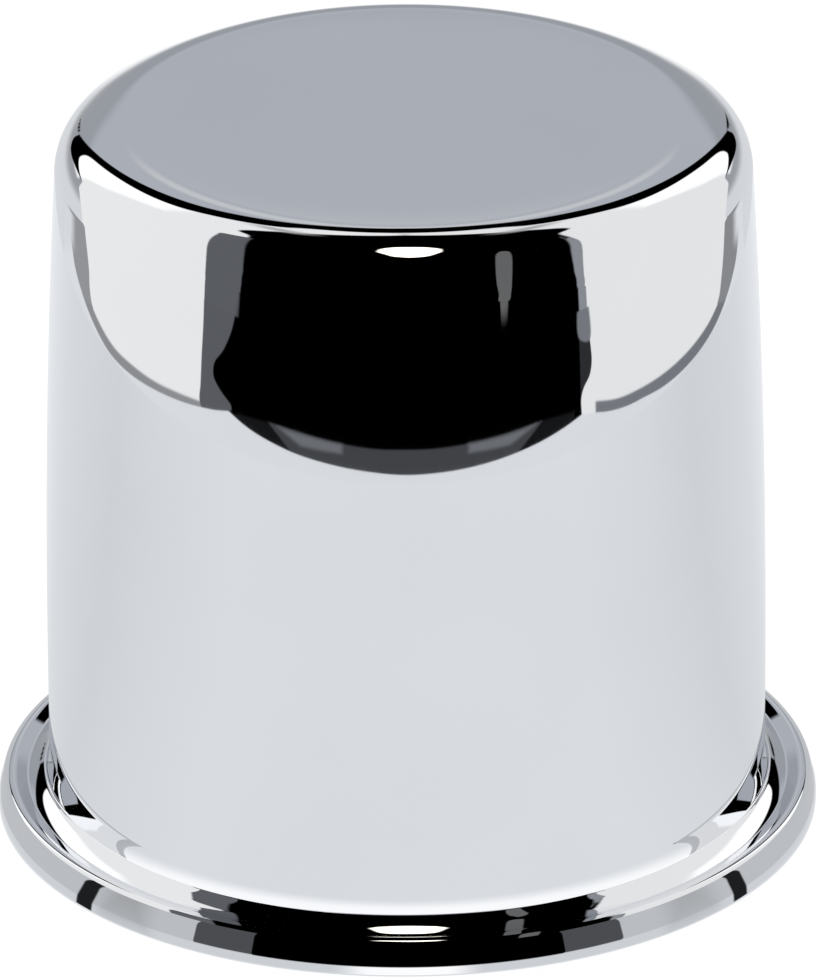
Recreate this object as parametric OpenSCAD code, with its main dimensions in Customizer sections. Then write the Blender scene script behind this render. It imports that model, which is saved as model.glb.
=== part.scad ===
// Chromed push-through wheel center cap, drawn from one disc of steel sheet.
// The closed end is up, the open mouth is down and Z is the axis of the cap.
// The origin is the middle of the circle that the turned-down rim stands on.

/* [Flange] */
// Width of the flange beyond the pilot
flange_w = 5.75; // [4.8:0.05:12]
// Height of the seat face on top of the flange
seat_z = 4.0; // [3.4:0.1:8]
// Height of the upright strip at the foot of the rim
strip_h = 1.2; // [0.6:0.1:1.4]
// Lean of the rim above that strip, in degrees from upright
rim_lean = 14.5; // [4:0.5:20]
// Outside radius of the bend between rim and seat
ridge_r = 1.2; // [0.6:0.1:1.6]
// Inside radius of the same bend, under the seat
ridge_inner_r = 0.4; // [0.2:0.1:0.8]
// Radius of the tight hollow at the inner edge of the seat
cove_r = 0.8; // [0.5:0.1:1.6]
// Radius of the gentle flare that leads from the hollow up into the pilot
flare_r = 10; // [4:0.5:14]
// Lean of the surface where hollow and flare meet, in degrees from upright
flare_lean = 13; // [5:1:20]

/* [Body] */
// Diameter of the straight pilot that fills the bore of the wheel
pilot_d = 80.5; // [70:0.1:90]
// Height of the upper end of the pilot
pilot_top = 19.5; // [12:0.5:30]
// Radius of the long arc that draws the wall in above the pilot
barrel_r = 1015; // [700:5:2000]

/* [Crown] */
// Overall height from rim to crown
cap_h = 83.2; // [60:0.1:100]
// Radius of the upper shoulder arc, next to the flat crown
crown_r = 9.6; // [6:0.1:14]
// Radius of the lower shoulder arc, next to the wall
shoulder_r = 5.7; // [3:0.1:9]
// Slope at which the two shoulder arcs meet, in degrees
shoulder_slope = 35; // [25:1:60]

/* [Sheet] */
// Thickness of the drawn sheet
sheet_t = 1.2; // [0.8:0.1:1.6]
// Rounding along both sides of the cut edge at the foot
edge_r = 0.25; // [0.1:0.05:0.35]

/* [Hidden] */
$fn = 180;

// Largest turn of an arc between two of its points, in degrees
arc_step = 4;
// Steps along the long wall arc, which turns by only a few degrees
barrel_steps = 12;

pilot_rad = pilot_d / 2;
flange_rad = pilot_rad + flange_w;

// Slope of the wall where the lower shoulder arc takes over: the heights of
// the three tangent arcs above the pilot add up to the height left for them
wall_rise = cap_h - pilot_top - crown_r
    + (crown_r - shoulder_r) * cos(shoulder_slope);
wall_slope = asin(wall_rise / (barrel_r - shoulder_r));

// Centres of the arcs, each as [radius from the axis, height]
flare_reach = (flare_r - cove_r) * [cos(flare_lean), sin(flare_lean)];
cove_c = [pilot_rad + flare_r - flare_reach[0], seat_z + cove_r];
flare_c = cove_c + flare_reach;
barrel_c = [pilot_rad - barrel_r, pilot_top];
shoulder_c = barrel_c + (barrel_r - shoulder_r) * [cos(wall_slope), sin(wall_slope)];
crown_c = shoulder_c - (crown_r - shoulder_r) * [sin(shoulder_slope), cos(shoulder_slope)];

// Points of an arc from angle a0 to angle a1, counted from the outward direction
function arc(c, r, a0, a1, steps) =
    [for (i = [0:steps]) let (a = a0 + (a1 - a0) * i / steps) c + r * [cos(a), sin(a)]];

function arc_steps(a0, a1) = ceil(abs(a1 - a0) / arc_step);

function bend(c, r, a0, a1) = arc(c, r, a0, a1, arc_steps(a0, a1));

// Foot of the leaning part of the rim on a skin that lies d inside the outer one
function lean_foot(d) = [flange_rad - d, strip_h - d * tan(rim_lean / 2)];

// Centre of a bend of radius r between the leaning rim and the seat of that skin:
// r below the seat, and r inside the leaning line
function ridge_c(d, r) =
    let (
        foot = lean_foot(d),
        z = seat_z - d - r
    )
    [foot[0] - (z - foot[1]) * tan(rim_lean) - r / cos(rim_lean), z];

// Section of a skin that lies d inside the outer one, from the foot to the axis.
// r is the radius of its bend between rim and seat.
function skin(d, r) = concat(
    [lean_foot(d)],
    bend(ridge_c(d, r), r, rim_lean, 90),
    bend(cove_c, cove_r + d, 270, 180 + flare_lean),
    bend(flare_c, flare_r + d, 180 + flare_lean, 180),
    arc(barrel_c, barrel_r - d, 0, wall_slope, barrel_steps),
    bend(shoulder_c, shoulder_r - d, wall_slope, 90 - shoulder_slope),
    bend(crown_c, crown_r - d, 90 - shoulder_slope, 90),
    [[0, cap_h - d]]
);

// Rounded foot of the rim, from its inner corner to its outer one
cut_edge = concat(
    bend([flange_rad - sheet_t + edge_r, edge_r], edge_r, 180, 270),
    bend([flange_rad - edge_r, edge_r], edge_r, 270, 360)
);

function reversed(list) = [for (i = [len(list) - 1:-1:0]) list[i]];

// Drops a point that repeats the one before it, where one arc runs into the next
function without_repeats(list) =
    [for (i = [0:len(list) - 1]) if (i == 0 || norm(list[i] - list[max(i, 1) - 1]) > 0.0001) list[i]];

module center_cap() {
    color([0.86, 0.87, 0.89])
        rotate_extrude()
            polygon(without_repeats(concat(
                cut_edge,
                skin(0, ridge_r),
                reversed(skin(sheet_t, ridge_inner_r))
            )));
}

center_cap();
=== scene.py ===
"""Chromed wheel center cap, standing on a round white turntable in a small photo studio."""

import math

import bpy
import numpy as np
from mathutils import Matrix, Vector


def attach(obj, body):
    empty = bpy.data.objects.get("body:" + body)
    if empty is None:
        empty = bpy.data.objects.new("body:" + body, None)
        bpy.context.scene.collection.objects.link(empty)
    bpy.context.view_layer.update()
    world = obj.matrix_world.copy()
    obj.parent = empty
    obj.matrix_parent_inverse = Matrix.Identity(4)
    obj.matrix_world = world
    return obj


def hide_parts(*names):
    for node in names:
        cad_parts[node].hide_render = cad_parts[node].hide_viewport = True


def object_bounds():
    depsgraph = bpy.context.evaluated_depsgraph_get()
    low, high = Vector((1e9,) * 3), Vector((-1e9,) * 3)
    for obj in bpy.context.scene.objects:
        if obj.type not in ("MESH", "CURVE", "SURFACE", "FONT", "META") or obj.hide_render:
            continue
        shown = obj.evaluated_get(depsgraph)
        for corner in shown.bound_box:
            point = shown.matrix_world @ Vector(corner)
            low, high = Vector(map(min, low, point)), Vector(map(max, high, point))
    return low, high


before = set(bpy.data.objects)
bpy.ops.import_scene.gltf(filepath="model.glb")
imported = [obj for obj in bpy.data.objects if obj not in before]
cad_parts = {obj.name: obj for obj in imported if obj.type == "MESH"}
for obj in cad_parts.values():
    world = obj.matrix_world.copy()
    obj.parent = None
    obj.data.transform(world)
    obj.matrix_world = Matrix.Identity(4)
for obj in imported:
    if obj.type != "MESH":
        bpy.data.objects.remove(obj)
cad_low, cad_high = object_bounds()

MM = 0.001

# Section of the cap: radii and heights in metres, leans and slopes in degrees. The radius of the rim
# and the overall height come from the frame.
NODE = "center_cap"
CAP_H = cad_high.z
FLANGE_R = cad_high.x
SEAT_Z = 4.0 * MM
STRIP_H = 1.2 * MM
RIM_LEAN = 14.5
RIDGE_R = 1.2 * MM
RIDGE_INNER_R = 0.4 * MM
FLARE_R = 10 * MM
FLARE_LEAN = 13
FLARE_TOP = 7.07 * MM
PILOT_R = 40.25 * MM
PILOT_TOP = 19.5 * MM
BARREL_R = 1015 * MM
CROWN_R = 9.6 * MM
SHOULDER_R = 5.7 * MM
SHOULDER_SLOPE = 35
SHEET_T = 1.2 * MM
EDGE_R = 0.25 * MM

# The seat is dished: from the bead along the rim it falls to a crisp valley, from which a shallow
# arc and a tight one rise to the flare. Angles are those of the normal, above the outward level.
BEAD_END = 113
TIGHT_R = 1.1 * MM
SHALLOW_R = 10 * MM
SHALLOW_LOW = 58
SHALLOW_HIGH = 68

# The normals of the flat crown lean out a little towards its edge, as a drawn sheet falls off there
ROLL_W = 8 * MM
ROLL_SLOPE = 0.9

# Degrees between two points of an arc: outer skin, inner skin and the rounded cut edge
OUTER_STEP = 1.5
INNER_STEP = 6
EDGE_STEP = 15

# Points inside a straight stretch, and steps of the long wall arc, the strip and the crown's edge
LINE_POINTS = 3
PILOT_POINTS = 8
BARREL_STEPS = 24
STRIP_STEPS = 4
ROLL_STEPS = 11

# Rings of the flat crown, as shares of its radius, and points of every ring
CROWN_RINGS = (0.75, 0.5, 0.25, 0.08)
AROUND = 280

# Roughness of the plate from its smoothest spots to its dullest, and what the inside adds to it
POLISH_LOW = 0.008
POLISH_HIGH = 0.022
INSIDE_ROUGHNESS = 0.22

# Camera: slope of the view, distance and target in metres, roll, lens and the reach of its view
VIEW_SLOPE = 24.582
VIEW_DISTANCE = 1565.4 * MM
VIEW_TARGET = Vector((0.32, 0, 37.84)) * MM
VIEW_ROLL = -0.355
LENS = 515.7
SENSOR_W = 36
CLIP_NEAR = 0.1
CLIP_FAR = 100


def unit(angle):
    """Unit vector of the section plane, [outward, up], at an angle from the outward direction."""
    a = math.radians(angle)
    return np.array([math.cos(a), math.sin(a)])


def arc(centre, radius, start, end, step, hollow=False):
    """Rows [r, z, normal angle] along an arc of the section; a hollow arc has its normal inwards."""
    count = max(2, math.ceil(abs(end - start) / step) + 1)
    turn = 180 if hollow else 0
    return [
        [*(centre + radius * unit(a)), a - turn]
        for a in np.linspace(start, end, count)
    ]


def line(start, end, normal, count):
    """Rows [r, z, normal angle] along a straight stretch, without its first and last point."""
    return [
        [*(start + (end - start) * t), normal]
        for t in np.linspace(0, 1, count + 2)[1:-1]
    ]


def skin(depth, ridge_r, step):
    """Rows [r, z, normal angle] of a skin that lies depth inside the outer one, from the foot to the
    flat crown, and the radius where the crown begins."""
    lean = math.radians(RIM_LEAN)
    foot = np.array([FLANGE_R - depth, STRIP_H - depth * math.tan(lean / 2)])
    ridge_z = SEAT_Z - depth - ridge_r
    ridge = np.array([
        foot[0] - (ridge_z - foot[1]) * math.tan(lean) - ridge_r / math.cos(lean),
        ridge_z,
    ])
    bead_end = 90 if depth else BEAD_END
    flare = np.array([PILOT_R + FLARE_R, FLARE_TOP])
    tight = flare - (FLARE_R - TIGHT_R) * unit(FLARE_LEAN)
    shallow = tight + (SHALLOW_R - TIGHT_R) * unit(SHALLOW_LOW)
    valley = shallow - (SHALLOW_R + depth) * unit(SHALLOW_HIGH)
    pilot = flare - (FLARE_R + depth) * unit(0)
    shoulder_rise = (CROWN_R - SHOULDER_R) * math.cos(math.radians(SHOULDER_SLOPE))
    rise = CAP_H - PILOT_TOP - CROWN_R + shoulder_rise
    wall = math.degrees(math.asin(rise / (BARREL_R - SHOULDER_R)))
    barrel = np.array([PILOT_R - BARREL_R, PILOT_TOP])
    shoulder = barrel + (BARREL_R - SHOULDER_R) * unit(wall)
    crown = shoulder - (CROWN_R - SHOULDER_R) * unit(90 - SHOULDER_SLOPE)
    rows = line(foot, ridge + ridge_r * unit(RIM_LEAN), RIM_LEAN, LINE_POINTS)
    rows += arc(ridge, ridge_r, RIM_LEAN, bead_end, step)
    rows += line(ridge + ridge_r * unit(bead_end), valley, bead_end, LINE_POINTS)
    rows += arc(shallow, SHALLOW_R + depth, 180 + SHALLOW_HIGH, 180 + SHALLOW_LOW, step / 2, hollow=True)
    rows += arc(tight, TIGHT_R + depth, 180 + SHALLOW_LOW, 180 + FLARE_LEAN, step, hollow=True)[1:]
    rows += arc(flare, FLARE_R + depth, 180 + FLARE_LEAN, 180, step, hollow=True)[1:]
    rows += line(pilot, np.array([pilot[0], PILOT_TOP]), 0, PILOT_POINTS)
    rows += arc(barrel, BARREL_R - depth, 0, wall, wall / BARREL_STEPS)
    rows += arc(shoulder, SHOULDER_R - depth, wall, 90 - SHOULDER_SLOPE, step)
    rows += arc(crown, CROWN_R - depth, 90 - SHOULDER_SLOPE, 90, step)
    return rows, crown[0]


def cut_edge():
    """Rows of the rounded foot of the rim and of the upright strip above it."""
    rows = arc(np.array([FLANGE_R - SHEET_T + EDGE_R, EDGE_R]), EDGE_R, 180, 270, EDGE_STEP)
    rows += arc(np.array([FLANGE_R - EDGE_R, EDGE_R]), EDGE_R, 270, 360, EDGE_STEP)
    rows = [[r, z, a - 360] for r, z, a in rows]
    return rows + [[FLANGE_R, z, 0] for z in np.linspace(EDGE_R, STRIP_H, STRIP_STEPS + 1)[1:]]


def flat_crown(flat_r, top):
    """Rows of the flat crown inside radius flat_r, whose normals lean out towards its edge."""
    level_r = flat_r - ROLL_W
    rows = [
        [level_r + ROLL_W * t, top, 90 - ROLL_SLOPE * t * t]
        for t in np.linspace(1, 0, ROLL_STEPS + 1)[1:]
    ]
    return rows + [[level_r * share, top, 90] for share in CROWN_RINGS]


def outer_rows():
    """Rows of the outside, from the inner corner of the foot to the axis."""
    rows, flat_r = skin(0, RIDGE_R, OUTER_STEP)
    return cut_edge() + rows + flat_crown(flat_r, rows[-1][1])


def inner_rows():
    """Rows of the inside, from the foot to the axis, with their normals into the cup."""
    rows, flat_r = skin(SHEET_T, RIDGE_INNER_R, INNER_STEP)
    rows = [[r, z, a + 180] for r, z, a in rows]
    return rows + [[flat_r * share, CAP_H - SHEET_T, 270] for share in CROWN_RINGS]


def lathe(name, outside, inside):
    """The closed cup: outside from foot to axis, then inside from axis back to the foot."""
    rows = np.array(outside + inside[::-1])
    turns = np.linspace(0, 2 * math.pi, AROUND, endpoint=False)
    co = np.stack([
        np.outer(rows[:, 0], np.cos(turns)),
        np.outer(rows[:, 0], np.sin(turns)),
        np.outer(rows[:, 1], np.ones(AROUND)),
    ], -1)
    tilt = np.radians(rows[:, 2])
    normal = np.stack([
        np.outer(np.cos(tilt), np.cos(turns)),
        np.outer(np.cos(tilt), np.sin(turns)),
        np.outer(np.sin(tilt), np.ones(AROUND)),
    ], -1)
    count = len(rows)
    crown = len(outside)
    faces = []
    for i in range(count):
        j = (i + 1) % count
        if j == crown:
            continue
        for k in range(AROUND):
            m = (k + 1) % AROUND
            faces.append((i * AROUND + k, i * AROUND + m, j * AROUND + m, j * AROUND + k))
    points = [*co.reshape(-1, 3), (0, 0, CAP_H), (0, 0, CAP_H - SHEET_T)]
    normals = [*normal.reshape(-1, 3), (0, 0, 1), (0, 0, -1)]
    apex = count * AROUND
    inner_apex = apex + 1
    for k in range(AROUND):
        m = (k + 1) % AROUND
        faces.append(((crown - 1) * AROUND + k, (crown - 1) * AROUND + m, apex))
        faces.append((crown * AROUND + m, crown * AROUND + k, inner_apex))
    mesh = bpy.data.meshes.new(name)
    mesh.from_pydata(points, [], faces)
    mesh.polygons.foreach_set("use_smooth", [True] * len(mesh.polygons))
    mesh.normals_split_custom_set_from_vertices(normals)
    is_inside = np.append(np.repeat(np.arange(count) >= crown, AROUND), [False, True])
    mesh.attributes.new("inside", "FLOAT", "POINT").data.foreach_set("value", is_inside.astype(np.float32))
    mesh.update()
    piece = bpy.data.objects.new(name, mesh)
    bpy.context.scene.collection.objects.link(piece)
    return piece


class Nodes:
    """Short way to add and join the nodes of a material or world."""

    def __init__(self, owner):
        owner.use_nodes = True
        self.tree = owner.node_tree
        self.tree.nodes.clear()

    def add(self, kind, inputs=None, **settings):
        """Adds a node; an input is a plain value or the socket that it is linked to."""
        node = self.tree.nodes.new("ShaderNode" + kind)
        for key, value in settings.items():
            setattr(node, key, value)
        for key, value in (inputs or {}).items():
            if isinstance(value, bpy.types.NodeSocket):
                self.tree.links.new(value, node.inputs[key])
            else:
                node.inputs[key].default_value = value
        return node

    def blend(self, share, first, second):
        """Colour that runs from the first one to the second as the share goes from 0 to 1."""
        node = self.add("Mix", {0: share, 6: first, 7: second}, data_type="RGBA")
        return node.outputs[2]

    def ramp(self, value, stops):
        """Colour along a ramp through [position, colour] stops."""
        node = self.add("ValToRGB", {0: value})
        while len(node.color_ramp.elements) < len(stops):
            node.color_ramp.elements.new(0.5)
        for element, (at, colour) in zip(node.color_ramp.elements, stops):
            element.position = at
            element.color = (*colour, 1)
        return node.outputs[0]


def chrome_material():
    """Bright plate with faint cloudiness outside, and a duller, rougher skin inside the cup."""
    material = bpy.data.materials.new("chrome_plate")
    n = Nodes(material)
    place = n.add("TexCoord")
    cloud = n.add("TexNoise", {"Vector": place.outputs["Object"], "Scale": 45.0, "Detail": 2.0})
    grain = n.add("TexNoise", {"Vector": place.outputs["Object"], "Scale": 900.0, "Detail": 3.0})
    plate = n.ramp(cloud.outputs["Fac"], [(0.35, (0.852, 0.864, 0.885)), (0.65, (0.866, 0.875, 0.893))])
    steel = n.ramp(cloud.outputs["Fac"], [(0.35, (0.55, 0.56, 0.57)), (0.65, (0.63, 0.64, 0.65))])
    inside = n.add("Attribute", attribute_name="inside")
    polish = n.add("MapRange", {"Value": grain.outputs["Fac"], "To Min": POLISH_LOW, "To Max": POLISH_HIGH})
    rough = n.add(
        "Math",
        {0: inside.outputs["Fac"], 1: INSIDE_ROUGHNESS, 2: polish.outputs[0]},
        operation="MULTIPLY_ADD",
    )
    shader = n.add("BsdfPrincipled", {
        "Base Color": n.blend(inside.outputs["Fac"], plate, steel),
        "Metallic": 1.0,
        "Roughness": rough.outputs[0],
    })
    n.add("OutputMaterial", {"Surface": shader.outputs[0]})
    return material


cap = lathe("center_cap_chrome", outer_rows(), inner_rows())
cap.data.materials.append(chrome_material())
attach(cap, "root")
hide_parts(NODE)

# Studio. A place on the dome round the cap is [azimuth, elevation] in degrees: azimuth 0 faces the
# camera and grows towards +X, elevation is above the horizon. Its chart lays the dome out flat round
# the zenith, so that a card's outline and its soft edge are simple distances in degrees.
DOME_R = 12.0
DOME_CENTRE = Vector((0, 0, 0.06))
DOME_LOW = -36
DOME_STEP = 1.0

# The wall of the cap shows a low stretch of the dome greatly enlarged, so the mesh is finer there
FINE_HIGH = -16
FINE_LOW = -22
FINE_STEP = 0.1

# Outlines that run off the lower edge of the dome end at this elevation
BELOW = -44

# Steps of a curve between two of its points, points of an oval and of a level edge
CURVE_STEPS = 10
OVAL_POINTS = 40
BAND_POINTS = 60

# Azimuths between which the level bands behind the cap lie
BAND_START = 122
BAND_END = 238

# Distance larger than any outline, and a length that counts as none
FAR = 1e9
TINY = 1e-9


def chart(azimuth, elevation):
    """Places of the dome in its flat chart."""
    a = np.radians(azimuth)
    return np.stack([(90 - elevation) * np.sin(a), (90 - elevation) * np.cos(a)], -1)


def between(a, b, start, end, at):
    """Value at a parameter, where a belongs to the start and b to the end."""
    return (a * (end - at) + b * (at - start)) / (end - start)


def smooth_stretch(points):
    """Curve through the points of one stretch of an outline; two points make a straight one."""
    points = np.array(points, float)
    if len(points) < 3:
        return [*points]
    padded = np.vstack([2 * points[0] - points[1], points, 2 * points[-1] - points[-2]])
    out = []
    for quad in zip(padded, padded[1:], padded[2:], padded[3:]):
        k = np.cumsum([0, *(math.sqrt(np.linalg.norm(b - a)) for a, b in zip(quad, quad[1:]))])
        for t in np.linspace(k[1], k[2], CURVE_STEPS, endpoint=False):
            once = [between(quad[i], quad[i + 1], k[i], k[i + 1], t) for i in range(3)]
            twice = [between(once[i], once[i + 1], k[i], k[i + 2], t) for i in range(2)]
            out.append(between(*twice, k[1], k[2], t))
    return [*out, points[-1]]


def outline(*stretches, on=chart):
    """Closed outline in a chart: smooth stretches, joined by straight lines."""
    return np.array([p for stretch in stretches for p in smooth_stretch(on(*np.array(stretch, float).T))])


def mirrored(stretch):
    """The same stretch on the other side of the middle."""
    return [(-a, e) for a, e in stretch]


def both_sides(*stretches):
    """Stretches of the right half of an outline, followed by those of its left half."""
    return [*stretches, *(mirrored(stretch[::-1]) for stretch in stretches[::-1])]


def spot(azimuth, elevation, width, height):
    """Outline of an oval spot on the dome, width and height in degrees."""
    a = math.radians(azimuth)
    t = np.linspace(0, 2 * math.pi, OVAL_POINTS, endpoint=False)
    oval = np.stack([width / 2 * np.cos(t), height / 2 * np.sin(t)], -1)
    turned = oval @ np.array([[math.cos(a), -math.sin(a)], [math.sin(a), math.cos(a)]])
    return chart(azimuth, elevation) + turned


def level_band(low, high):
    """Outline of a stretch of the dome behind the cap, between two elevations."""
    azimuths = np.linspace(BAND_START, BAND_END, BAND_POINTS)
    lower = chart(azimuths, np.full(BAND_POINTS, low))
    upper = chart(azimuths[::-1], np.full(BAND_POINTS, high))
    return np.vstack([lower, upper])


def depth_inside(places, edge):
    """Distance of each place to the outline, positive inside it."""
    way = np.roll(edge, -1, axis=0) - edge
    nearest = np.full(len(places), FAR)
    crossings = np.zeros(len(places), int)
    x, y = places.T
    for (sx, sy), (wx, wy) in zip(edge, way):
        gap_x = x - sx
        gap_y = y - sy
        along = np.clip((gap_x * wx + gap_y * wy) / max(wx * wx + wy * wy, TINY), 0, 1)
        nearest = np.minimum(nearest, np.hypot(gap_x - along * wx, gap_y - along * wy))
        if abs(wy) > TINY:
            crossings += ((sy > y) != (sy + wy > y)) & (x < sx + (y - sy) * wx / wy)
    return np.where(crossings % 2 == 1, nearest, -nearest)


# Share of the light that the plate gives back, and the offset and power of a screen's usual curve
PLATE_SHARE = 0.87
SCREEN_OFFSET = 0.055
SCREEN_POWER = 2.4


def grey(level):
    """Linear colour that shows as this grey level of 255 when it is seen in the chrome."""
    linear = ((level / 255 + SCREEN_OFFSET) / (1 + SCREEN_OFFSET)) ** SCREEN_POWER
    return linear / PLATE_SHARE


def tone(level, tint=(1, 1, 1)):
    """Colour of a card that shows as this grey level, with a slight tint."""
    return tuple(grey(level) * t for t in tint)


# Two slight tints of the cards, the lamp's colour and black
COOL = (0.98, 1.0, 1.03)
BLUE = (0.96, 1.0, 1.09)
WARM = (3.0, 2.75, 2.4)
BLACK = (0.0, 0.0, 0.0)

# White panels hang left and right of the cap, each with a grey strip along its front edge. The strip
# lies between the white edge and the dark one.
RIGHT_WHITE = [
    (62, BELOW), (61.5, -30), (61.1, -20), (60.9, -18.6), (60.6, -18.3), (59.7, -15), (58.7, 2.9),
    (61, 20.1), (67.4, 36.2), (79.2, 49), (95.1, 56.8), (109.6, 60.1), (117.9, 61.4), (125.5, 61.9),
]
RIGHT_DARK = [
    (129.3, 62.9), (121.2, 62.8), (111.5, 62.2), (96, 59.7), (74.3, 49.8), (61.4, 32.3), (56.3, 11.1),
    (56.5, -11.2), (57.9, -18.2), (58.4, -18.45), (58.8, -20), (59, -30), (59, BELOW),
]
LEFT_WHITE = [
    (-70, BELOW), (-69, -30), (-68.2, -20), (-67.7, -18.8), (-67.4, -18.4), (-67, -16.5), (-65.7, -6.5),
    (-66.2, 8.5), (-69.3, 22.7), (-76, 36.1), (-86.7, 46.6), (-98.9, 52.9), (-113.2, 56.6),
    (-123.1, 57.9), (-130.3, 58.4),
]
LEFT_DARK = [
    (-133.6, 63), (-127.3, 63.4), (-114.7, 63.5), (-98.3, 61.8), (-75.2, 53.3), (-61, 38),
    (-54.8, 21.2), (-52.7, -0.7), (-53.5, -12), (-54.3, -17.9), (-54.9, -18.2), (-55.6, -18.4),
    (-56.4, -19), (-56.6, -30), (-56.6, BELOW),
]

# Top, underside and foot of the right panel; the left one mirrors them
PANEL_TOP = [(131, 62), (140, 61), (145, 58), (160, 55.5), (165, 54), (170, 52.5), (175, 50), (180, 47)]
PANEL_UNDER = [
    (133, 7), (129, 2), (126.5, -4), (126, -10), (127, -15), (130, -20), (133, -28), (134, BELOW),
]
PANEL_FOOT = [(120, BELOW), (105, BELOW), (90, BELOW), (75, BELOW)]

# Right half of the black arch behind the cap. It parts the panels from a grey card, which shows
# through its heart-shaped opening.
ARCH = [
    (180, 41.5), (175, 43), (170, 47), (165, 48), (160, 47.5), (154, 45.5), (151.5, 42), (151, 30),
    (151.3, 20), (149, 15.8), (143, 14), (135.2, 13.1),
]
ARCH_FOOT = [(135.2, 13.1), (143, 10.6), (149, 6.5), (152.5, 5), (155.5, 6.5), (157, 11.5)]
HEART = [
    (163, 2), (158, 8), (156.3, 14), (155.5, 20), (156, 28), (158, 34), (162, 38.5), (167, 40.3),
    (172, 39), (176, 36), (179, 31), (180, 29.5),
]

# Front and back edge of the bright glare on each panel, next to the arch
GLARE_FRONT = [(138, 10), (138, 30), (140, 46)]
GLARE_BACK = [(153, 47), (152, 30), (153, 8)]

# Outer and inner edge of the thin grey strip that hangs between the panels, right of the middle
THIN_OUTER = [
    (111.2, 73.5), (104.5, 72.8), (89.1, 71.5), (61, 63.9), (42.4, 44.9), (35.5, 20.7), (33.7, -2),
    (33.9, -16), (33.8, -17.5), (33.1, -17.66), (32.4, -17.72),
]
THIN_INNER = [
    (31.7, -17.7), (30.9, -17.6), (30.2, -16), (29.8, -4.9), (30.1, 16.8), (33.4, 37.8), (42.1, 56.3),
    (61.9, 69.5), (93.9, 74.7), (109, 74.4),
]

# Near and far edge of the lamp over the cap
LAMP_NEAR = [(-162.2, 78.3), (-170, 74), (-176.5, 71.2), (180, 70.8), (173.2, 71.4), (163, 74.5)]
LAMP_FAR = [(153.8, 78.6), (139.6, 85.1), (163.7, 87.3), (-158.3, 85.4)]

RIGHT_PANEL = outline(RIGHT_WHITE + PANEL_TOP, ARCH, PANEL_UNDER, PANEL_FOOT)
LEFT_PANEL = outline(
    LEFT_WHITE + mirrored(PANEL_TOP), mirrored(ARCH), mirrored(PANEL_UNDER), mirrored(PANEL_FOOT)
)

# Cards in the order in which they cover each other: name, outline, softness of the edge, colour
CARDS = [
    ("low_back", level_band(BELOW, 40), 1.0, tone(158, COOL)),
    ("low_light", level_band(BELOW, 0), 5.0, tone(210, COOL)),
    ("low_glow", spot(180, -8, 30, 34), 7.0, tone(250)),
    ("heart_low", level_band(6, 42), 5.0, tone(152, BLUE)),
    ("heart_middle", level_band(20.4, 42), 2.4, tone(172, BLUE)),
    ("heart_high", spot(180, 30, 16, 9), 2.0, tone(192, COOL)),
    ("right_panel", RIGHT_PANEL, 0.4, tone(227)),
    ("left_panel", LEFT_PANEL, 0.4, tone(231)),
    ("right_glare", outline(GLARE_FRONT, GLARE_BACK), 2.0, tone(258)),
    ("left_glare", outline(mirrored(GLARE_FRONT), mirrored(GLARE_BACK)), 2.0, tone(258)),
    # Two darker spots on the panels, near their tops.
    ("right_dark_spot", spot(166, 52, 4, 6), 2.0, tone(165)),
    ("left_dark_spot", spot(-166, 52, 4, 6), 2.0, tone(165)),
    ("arch", outline(*both_sides(ARCH, ARCH_FOOT, HEART)), 0.4, BLACK),
    ("left_strip", outline(LEFT_WHITE, LEFT_DARK), 0.4, tone(92, BLUE)),
    ("right_strip", outline(RIGHT_WHITE[:-1], RIGHT_DARK), 0.4, tone(138, BLUE)),
    ("thin_strip", outline(THIN_OUTER, THIN_INNER), 0.2, tone(98)),
    ("lamp", outline(LAMP_NEAR, LAMP_FAR), 0.4, WARM),
]

# The flange shows the lamp after one more turn at the wall, so it gets a card of its own in front of
# the cap. The card shows only past this number of turns in the chrome, so after two or more.
TURNS = 1.5
# This card is a painted highlight on the flange: a copy of the lamp that only rays turned twice or more can
# see.
FLANGE_LAMP_TOP = [(-42, 83), (0, 86), (42, 83)]
FLANGE_LAMP_FOOT = [(42, 80), (18, 74.5), (0, 74), (-18, 74.5), (-42, 80)]
FLANGE_LAMP = [("flange_lamp", outline(FLANGE_LAMP_TOP, FLANGE_LAMP_FOOT), 0.6, WARM)]


def card_colour(n, mesh, places, base, cards):
    """Stores each card's depth in the mesh, and lays the colours of the cards over the base colour."""
    colour = (*base, 1)
    for name, edge, softness, shade in cards:
        depth = mesh.attributes.new(name, "FLOAT", "POINT")
        depth.data.foreach_set("value", depth_inside(places, edge).astype(np.float32))
        inside = n.add("Attribute", attribute_name=name)
        mask = n.add(
            "MapRange",
            {"Value": inside.outputs["Fac"], "From Min": -softness, "From Max": softness},
            interpolation_type="SMOOTHSTEP",
        )
        colour = n.blend(mask.outputs[0], colour, (*shade, 1))
    return colour


def stage_piece(name, mesh, material):
    """A piece of the studio that only shows in the chrome."""
    mesh.materials.append(material)
    ob = bpy.data.objects.new(name, mesh)
    bpy.context.scene.collection.objects.link(ob)
    ob.visible_camera = False
    ob.visible_diffuse = False
    ob.visible_shadow = False
    ob.visible_transmission = False
    material.cycles.emission_sampling = "NONE"
    return ob


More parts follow.
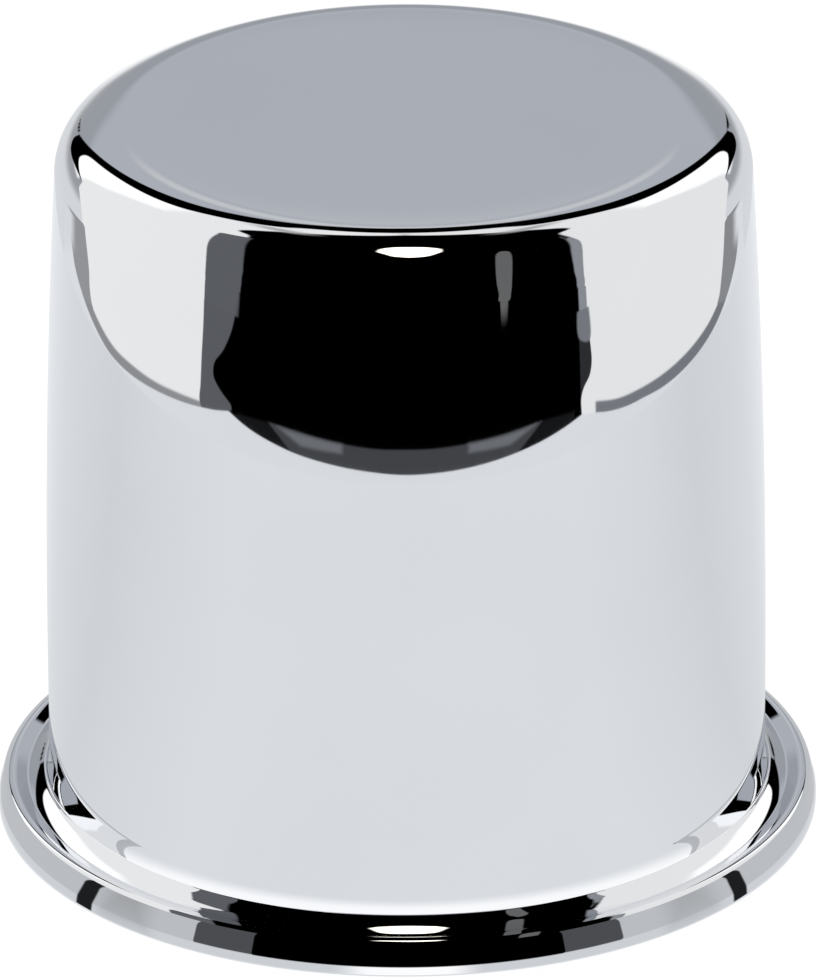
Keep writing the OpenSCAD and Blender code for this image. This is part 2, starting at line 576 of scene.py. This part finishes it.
def dome():
    """The dome round the cap, which carries the cards."""
    azimuths = np.arange(0, 360, DOME_STEP)
    elevations = np.concatenate([
        np.arange(90 - DOME_STEP, FINE_HIGH, -DOME_STEP),
        np.arange(FINE_HIGH, FINE_LOW, -FINE_STEP),
        np.arange(FINE_LOW, DOME_LOW - DOME_STEP / 2, -DOME_STEP),
    ])
    az, el = (g.ravel() for g in np.meshgrid(azimuths, elevations))
    az = np.append(az, 0)
    el = np.append(el, 90)
    a = np.radians(az)
    e = np.radians(el)
    directions = np.stack([np.sin(a) * np.cos(e), -np.cos(a) * np.cos(e), np.sin(e)], -1)
    columns = len(azimuths)
    rows = len(elevations)
    faces = []
    for i in range(rows - 1):
        for k in range(columns):
            m = (k + 1) % columns
            faces.append((i * columns + k, i * columns + m, (i + 1) * columns + m, (i + 1) * columns + k))
    for k in range(columns):
        faces.append((k, (k + 1) % columns, columns * rows))
    mesh = bpy.data.meshes.new("dome")
    mesh.from_pydata((directions * DOME_R).tolist(), [], faces)
    material = bpy.data.materials.new("dome_cards")
    n = Nodes(material)
    path = n.add("LightPath")
    later = n.add("Math", {0: path.outputs["Glossy Depth"], 1: TURNS}, operation="GREATER_THAN")
    places = chart(az, el)
    glow = n.add("Emission", {"Color": card_colour(n, mesh, places, BLACK, CARDS), "Strength": 1.0})
    # The flange lamp's painted highlight, shown only after two or more turns.
    lamp = n.add("Emission", {
        "Color": card_colour(n, mesh, places, BLACK, FLANGE_LAMP),
        "Strength": later.outputs[0],
    })
    both = n.add("AddShader", {0: glow.outputs[0], 1: lamp.outputs[0]})
    n.add("OutputMaterial", {"Surface": both.outputs[0]})
    ob = stage_piece("dome", mesh, material)
    ob.location = DOME_CENTRE


dome()

# Degrees between two points of an upright round strip of mesh
FENCE_STEP = 0.5


def fence(name, radius, top, start, end, rows):
    """Upright round strip of mesh on the floor, with the [azimuth, height in mm] of each point."""
    azimuths = np.arange(start, end + FENCE_STEP / 2, FENCE_STEP)
    heights = np.linspace(0, top / MM, rows)
    az, high = (g.ravel() for g in np.meshgrid(azimuths, heights))
    a = np.radians(az)
    points = np.stack([radius * np.sin(a), -radius * np.cos(a), high * MM], -1)
    count = len(azimuths)
    faces = [
        (i * count + k, i * count + k + 1, (i + 1) * count + k + 1, (i + 1) * count + k)
        for i in range(rows - 1)
        for k in range(count - 1)
    ]
    mesh = bpy.data.meshes.new(name)
    mesh.from_pydata(points.tolist(), [], faces)
    return mesh, az, high


# Skirt: the low surroundings at the edge of the turntable. Its chart counts millimetres of height and
# half millimetres for a degree of azimuth.
TABLE_R = 192 * MM
SKIRT_TOP = 22 * MM
SKIRT_END = 136
SKIRT_ROWS = 89
SKIRT_DEGREE = 0.5


def skirt_chart(azimuth, height):
    """Places of the skirt in its flat chart."""
    return np.stack([azimuth * SKIRT_DEGREE, height], -1)


def on_skirt(*stretches):
    """Closed outline on the skirt."""
    return outline(*stretches, on=skirt_chart)


# Where the turntable ends, as the wall of the cap shows it: left, in front and right
TABLE_EDGE_LEFT = [
    (-136, 10), (-133.3, 6.8), (-128.3, 5.1), (-125, 3.4), (-120, 2.3), (-113.3, 1.3), (-105, 0.45),
    (-100.8, 0.25), (-95, 0.45), (-88.3, 1.0), (-80, 1.95), (-73.3, 2.8), (-68.3, 3.45), (-61.7, 4.45),
]
TABLE_EDGE_FRONT = [
    (-52.5, 6.1), (-48.3, 5.1), (-44.2, 4.35), (-38.3, 3.6), (-31.7, 2.93), (-25, 2.5), (-18.3, 2.15),
    (-10, 1.8), (0, 1.5), (10, 1.65), (15, 1.8), (23.3, 2.2), (31.7, 2.77), (40, 3.5), (46.7, 4.3),
    (52.8, 5.2),
]
TABLE_EDGE_RIGHT = [
    (57.5, 4.3), (61.7, 3.4), (68.3, 2.4), (75, 1.77), (81.7, 1.0), (88.3, 0.5), (95, 0.2), (103.3, 0),
    (111.7, 0.3), (118.3, 1.0), (123.3, 1.8), (126.7, 2.6), (130, 4.3), (133.3, 6.8), (136, 10),
]

# Sides of the black gap between the feet of the two panels
LEFT_BULGE = [
    (-50.1, 26), (-50.4, 24.6), (-50.6, 22.9), (-51.4, 20.3), (-52.8, 17.8), (-54.8, 15.3),
    (-57.2, 13.2), (-57.8, 12), (-57.6, 10.4), (-55.8, 9.1), (-54.2, 8.3), (-51.9, 7.3), (-51.5, 6.5),
]
RIGHT_BULGE = [
    (52.5, 5.2), (52.5, 8), (53.4, 9.4), (55.4, 10.9), (56.2, 12.9), (56, 15.4), (55.4, 17.9),
    (54.8, 20.4), (54, 22.9), (53.4, 26),
]

# Grey wedges at the back ends of the panels
LEFT_WEDGE = on_skirt(
    [(-137, 25), (-117.5, 23)],
    [(-118, 12), (-114.2, 7.6), (-113.3, 5.1), (-111.7, 3.4), (-110.8, 3.1)],
    [(-113, 0), (-137, 0)],
)
RIGHT_WEDGE = on_skirt(
    [(137, 25), (119.5, 23)],
    [(119.5, 12), (117, 7.6), (115, 5.1), (113.3, 3.4), (111.7, 2.8)],
    [(113, 0), (137, 0)],
)

# Grey seams along the feet of the panels
LEFT_SEAM = on_skirt(
    [(-112, 3.1), (-105, 2.3), (-98, 2.0), (-90, 2.5), (-80, 3.3), (-70, 4.45), (-61.5, 5.4)],
    [(-61.7, 3), (-61.7, 0)],
    [(-120, 0)],
)
RIGHT_SEAM = on_skirt(
    [(57.2, 6.2), (65, 4.6), (73.3, 3.7), (81.7, 3.0), (90, 2.5), (98.3, 2.2), (106.7, 2.2), (112, 2.6)],
    [(120, 0), (57.2, 0)],
)

# Feet of the grey strips along the front edges of the panels
LEFT_STRIP_FOOT = on_skirt(
    [(-61.3, 26), (-61.5, 18), (-61.9, 13), (-62.2, 8), (-62.5, 5.6), (-61.7, 4.3)],
    [(-61.7, 0), (-50, 0)],
    [(-50, 26)],
)
RIGHT_STRIP_FOOT = on_skirt([(52.2, 26), (52.4, 17.5), (55.6, 16.5), (55.1, 26)])

# The black gap, and what lies low in it: a dark band, a grey one and two lighter patches
GAP = on_skirt(LEFT_BULGE, [(-53, 5.9), (-52.5, 3)], [(-52.5, 0), (53.5, 0)], RIGHT_BULGE)
FRONT_ENDS = on_skirt([(-50, 6.3), (-38, 6.8), (0, 5.6), (38, 6.8), (50, 6.3)], [(50, 0), (-50, 0)])
FRONT_GREY = on_skirt(
    [(-40, 6.9), (-31.7, 6.7), (-25, 6.35), (-10, 5.7), (0, 5.7), (10, 5.7), (25, 6.2), (31.7, 6.5),
     (40, 6.85)],
    [(30, 1.5), (-30, 1.5)],
)
FRONT_LEFT_LIGHT = on_skirt([(-37, 6.6), (-28, 6.3), (-18, 5.9)], [(-18, 4.4), (-30, 4.4)])
FRONT_RIGHT_LIGHT = on_skirt([(38, 6.6), (30, 6.2), (18, 5.9)], [(18, 4.4), (30, 4.4)])

TABLE_REACH = on_skirt(
    TABLE_EDGE_LEFT + [(-57, 5.2)], TABLE_EDGE_FRONT, TABLE_EDGE_RIGHT, [(136, -3), (-136, -3)]
)
SKIRT_CARDS = [
    ("right_side", on_skirt([(0, 0), (137, 0)], [(137, 25), (0, 25)]), 0.1, tone(227)),
    ("left_wedge", LEFT_WEDGE, 0.15, tone(146, COOL)),
    ("right_wedge", RIGHT_WEDGE, 0.15, tone(135, COOL)),
    ("left_seam", LEFT_SEAM, 0.3, tone(140, COOL)),
    ("right_seam", RIGHT_SEAM, 0.25, tone(118, BLUE)),
    ("left_strip_foot", LEFT_STRIP_FOOT, 0.1, tone(90, BLUE)),
    ("gap", GAP, 0.1, BLACK),
    ("right_inner", on_skirt([(52.2, 25), (52.4, 5.2)], RIGHT_BULGE), 0.1, tone(44, BLUE)),
    ("right_strip_foot", RIGHT_STRIP_FOOT, 0.2, tone(118, BLUE)),
    ("front_ends", FRONT_ENDS, 0.3, tone(22, BLUE)),
    ("front_grey", FRONT_GREY, 0.2, tone(66, BLUE)),
    ("front_left_light", FRONT_LEFT_LIGHT, 0.5, tone(108, BLUE)),
    ("front_right_light", FRONT_RIGHT_LIGHT, 0.5, tone(108, BLUE)),
    ("table_reach", TABLE_REACH, 0.12, tone(218, COOL)),
    ("left_end", on_skirt([(-137, 25), (-131, 25)], [(-127, 6), (-137, 0)]), 1.6, tone(212, COOL)),
    ("right_end", on_skirt([(137, 25), (131, 25)], [(127, 6), (137, 0)]), 1.6, tone(216, COOL)),
]


def skirt():
    """The skirt, whose base colour is that of the left panel."""
    mesh, azimuth, height = fence("skirt", TABLE_R, SKIRT_TOP, -SKIRT_END, SKIRT_END, SKIRT_ROWS)
    material = bpy.data.materials.new("skirt_cards")
    n = Nodes(material)
    colour = card_colour(n, mesh, skirt_chart(azimuth, height), tone(231), SKIRT_CARDS)
    glow = n.add("Emission", {"Color": colour, "Strength": 1.0})
    n.add("OutputMaterial", {"Surface": glow.outputs[0]})
    stage_piece("skirt", mesh, material)


skirt()

# Collar: a low paper ring close round the rim, which only the rim itself is near enough to show.
# Its chart counts millimetres both ways.
# The collar's cards are a painted reflection in the rim, with painted shade of the floor beside the cap and
# a painted glow at its foot in front.
COLLAR_R = 46.4 * MM
COLLAR_TOP = 5.0 * MM
COLLAR_REACH = 4.0 * MM
COLLAR_ROWS = 26
COLLAR_DEGREE = 0.81

# Height past the top of the collar where its cards end, and the height of their feet
COLLAR_OVER = 9
COLLAR_FOOT = 1.05


def collar_chart(azimuth, height):
    """Places of the collar in its flat chart."""
    return np.stack([azimuth * COLLAR_DEGREE, height], -1)


def on_collar(*stretches):
    """Closed outline on the collar."""
    return outline(*stretches, on=collar_chart)


def collar_span(start, end, foot=COLLAR_FOOT):
    """Outline of an upright stretch of the collar between two azimuths."""
    return on_collar([(start, COLLAR_OVER), (end, COLLAR_OVER)], [(end, foot), (start, foot)])


LEFT_NOTCH = on_collar([(-52.6, 9), (-49.7, 5), (-50.6, -1)], [(-54.2, -1), (-52.6, 5)])
RIGHT_NOTCH = on_collar([(54.8, 9), (52.2, 5), (52.5, -1)], [(55.8, -1), (55, 5)])
COLLAR_CARDS = [
    # Painted light: a bright glow at the foot in front.
    ("foot_glow", collar_span(-8, 8, -3), 2.5, tone(252)),
    # Painted shade: the floor beside the cap, darker at the sides and darker still towards the notches.
    ("left_floor_shade", collar_span(-180, -31), 0.1, tone(188, COOL)),
    ("right_floor_shade", collar_span(31, 180), 0.1, tone(188, COOL)),
    ("left_deeper_shade", collar_span(-48, -40), 2.5, tone(164, COOL)),
    ("right_deeper_shade", collar_span(40, 48), 2.5, tone(170, COOL)),
    ("front_patch", collar_span(-31.4, 31.4), 0.1, tone(76, BLUE)),
    ("front_gap", collar_span(-22.3, 22.3, 1.0), 0.08, BLACK),
    ("left_notch", LEFT_NOTCH, 0.2, tone(30, BLUE)),
    ("right_notch", RIGHT_NOTCH, 0.2, tone(30, BLUE)),
]


def collar():
    """The collar with its painted reflection, clear to everything that is farther away than its reach."""
    mesh, azimuth, height = fence("collar", COLLAR_R, COLLAR_TOP, -180, 180, COLLAR_ROWS)
    material = bpy.data.materials.new("collar_cards")
    n = Nodes(material)
    colour = card_colour(n, mesh, collar_chart(azimuth, height), tone(206, COOL), COLLAR_CARDS)
    glow = n.add("Emission", {"Color": colour, "Strength": 1.0})
    clear = n.add("BsdfTransparent", {"Color": (1, 1, 1, 1)})
    path = n.add("LightPath")
    far = n.add("Math", {0: path.outputs["Ray Length"], 1: COLLAR_REACH}, operation="GREATER_THAN")
    mix = n.add("MixShader", {0: far.outputs[0], 1: glow.outputs[0], 2: clear.outputs[0]})
    n.add("OutputMaterial", {"Surface": mix.outputs[0]})
    stage_piece("collar", mesh, material)


collar()

# Turntable: a round white disc, white to the camera with the cap's soft shadow. In the chrome it is a pale
# glow with painted shade and painted light, darker at its sides where the cap shades it and lighter behind,
# and a painted reflection brightens it where it is seen at a low slope.
TABLE_POINTS = 360
TABLE_PAINT = (0.3, 0.3, 0.3, 1)
TABLE_GLOW = 0.78

# Grey level of the glow by degrees from the front, painted shade at the sides and painted light behind, and
# how far the view leans where a painted reflection brightens it
TABLE_LIGHT_AND_SHADE = [(0, 218), (50, 219), (75, 214), (95, 208), (125, 214), (155, 226), (180, 232)]
LOW_SLOPE_START = 0.62
LOW_SLOPE_END = 0.88


def table_material():
    """White paint for the camera, and for the chrome the pale glow with its painted shade, painted light
    and painted reflection.
    """
    material = bpy.data.materials.new("turntable_white")
    n = Nodes(material)
    path = n.add("LightPath")
    paint = n.add("BsdfDiffuse", {"Color": TABLE_PAINT})
    base = n.add("Emission", {"Color": (1, 1, 1, 1), "Strength": TABLE_GLOW})
    lit = n.add("AddShader", {0: paint.outputs[0], 1: base.outputs[0]})
    place = n.add("TexCoord")
    split = n.add("SeparateXYZ", {0: place.outputs["Object"]})
    side = n.add("Math", {0: split.outputs["X"]}, operation="ABSOLUTE")
    front = n.add("Math", {0: split.outputs["Y"], 1: -1.0}, operation="MULTIPLY")
    turn = n.add("Math", {0: side.outputs[0], 1: front.outputs[0]}, operation="ARCTAN2")
    share = n.add("Math", {0: turn.outputs[0], 1: math.pi}, operation="DIVIDE")
    around = n.ramp(share.outputs[0], [(a / 180, tone(level, COOL)) for a, level in TABLE_LIGHT_AND_SHADE])
    slope = n.add("LayerWeight", {"Blend": 0.5})
    low = n.add(
        "MapRange",
        {"Value": slope.outputs["Facing"], "From Min": LOW_SLOPE_START, "From Max": LOW_SLOPE_END},
        interpolation_type="SMOOTHSTEP",
    )
    seen = n.add("Emission", {"Color": n.blend(low.outputs[0], around, (*tone(250), 1))})
    mix = n.add("MixShader", {0: path.outputs["Is Glossy Ray"], 1: lit.outputs[0], 2: seen.outputs[0]})
    n.add("OutputMaterial", {"Surface": mix.outputs[0]})
    material.cycles.emission_sampling = "NONE"
    return material


def turntable():
    """The flat round disc that the cap stands on."""
    turns = np.linspace(0, 2 * math.pi, TABLE_POINTS, endpoint=False)
    points = [(TABLE_R * math.cos(t), TABLE_R * math.sin(t), 0) for t in turns] + [(0, 0, 0)]
    faces = [(k, (k + 1) % TABLE_POINTS, TABLE_POINTS) for k in range(TABLE_POINTS)]
    mesh = bpy.data.meshes.new("turntable")
    mesh.from_pydata(points, [], faces)
    mesh.materials.append(table_material())
    ob = bpy.data.objects.new("turntable", mesh)
    bpy.context.scene.collection.objects.link(ob)


turntable()


def studio_world():
    """White to the camera, plain soft light on the turntable, nothing of its own in the chrome."""
    world = bpy.data.worlds.new("studio")
    bpy.context.scene.world = world
    n = Nodes(world)
    path = n.add("LightPath")
    seen = n.add("Background", {"Color": (1, 1, 1, 1), "Strength": 1.0})
    dark = n.add("Background", {"Color": (0, 0, 0, 1), "Strength": 0.0})
    mix = n.add("MixShader", {0: path.outputs["Is Glossy Ray"], 1: seen.outputs[0], 2: dark.outputs[0]})
    n.add("OutputWorld", {"Surface": mix.outputs[0]})


studio_world()


def view_camera():
    """Camera in front of the cap that looks down on it, with its slight roll."""
    slope = math.radians(VIEW_SLOPE)
    forward = Vector((0, math.cos(slope), -math.sin(slope)))
    level = Vector((1, 0, 0))
    upward = level.cross(forward)
    roll = math.radians(VIEW_ROLL)
    right = level * math.cos(roll) + upward * math.sin(roll)
    up = upward * math.cos(roll) - level * math.sin(roll)
    data = bpy.data.cameras.new("camera")
    data.lens = LENS
    data.sensor_width = SENSOR_W
    data.clip_start = CLIP_NEAR
    data.clip_end = CLIP_FAR
    camera = bpy.data.objects.new("camera", data)
    bpy.context.scene.collection.objects.link(camera)
    position = VIEW_TARGET - forward * VIEW_DISTANCE
    camera.matrix_world = Matrix.Translation(position) @ Matrix((right, up, -forward)).transposed().to_4x4()
    return camera


bpy.context.scene.camera = view_camera()
bpy.context.scene.view_settings.view_transform = "Standard"
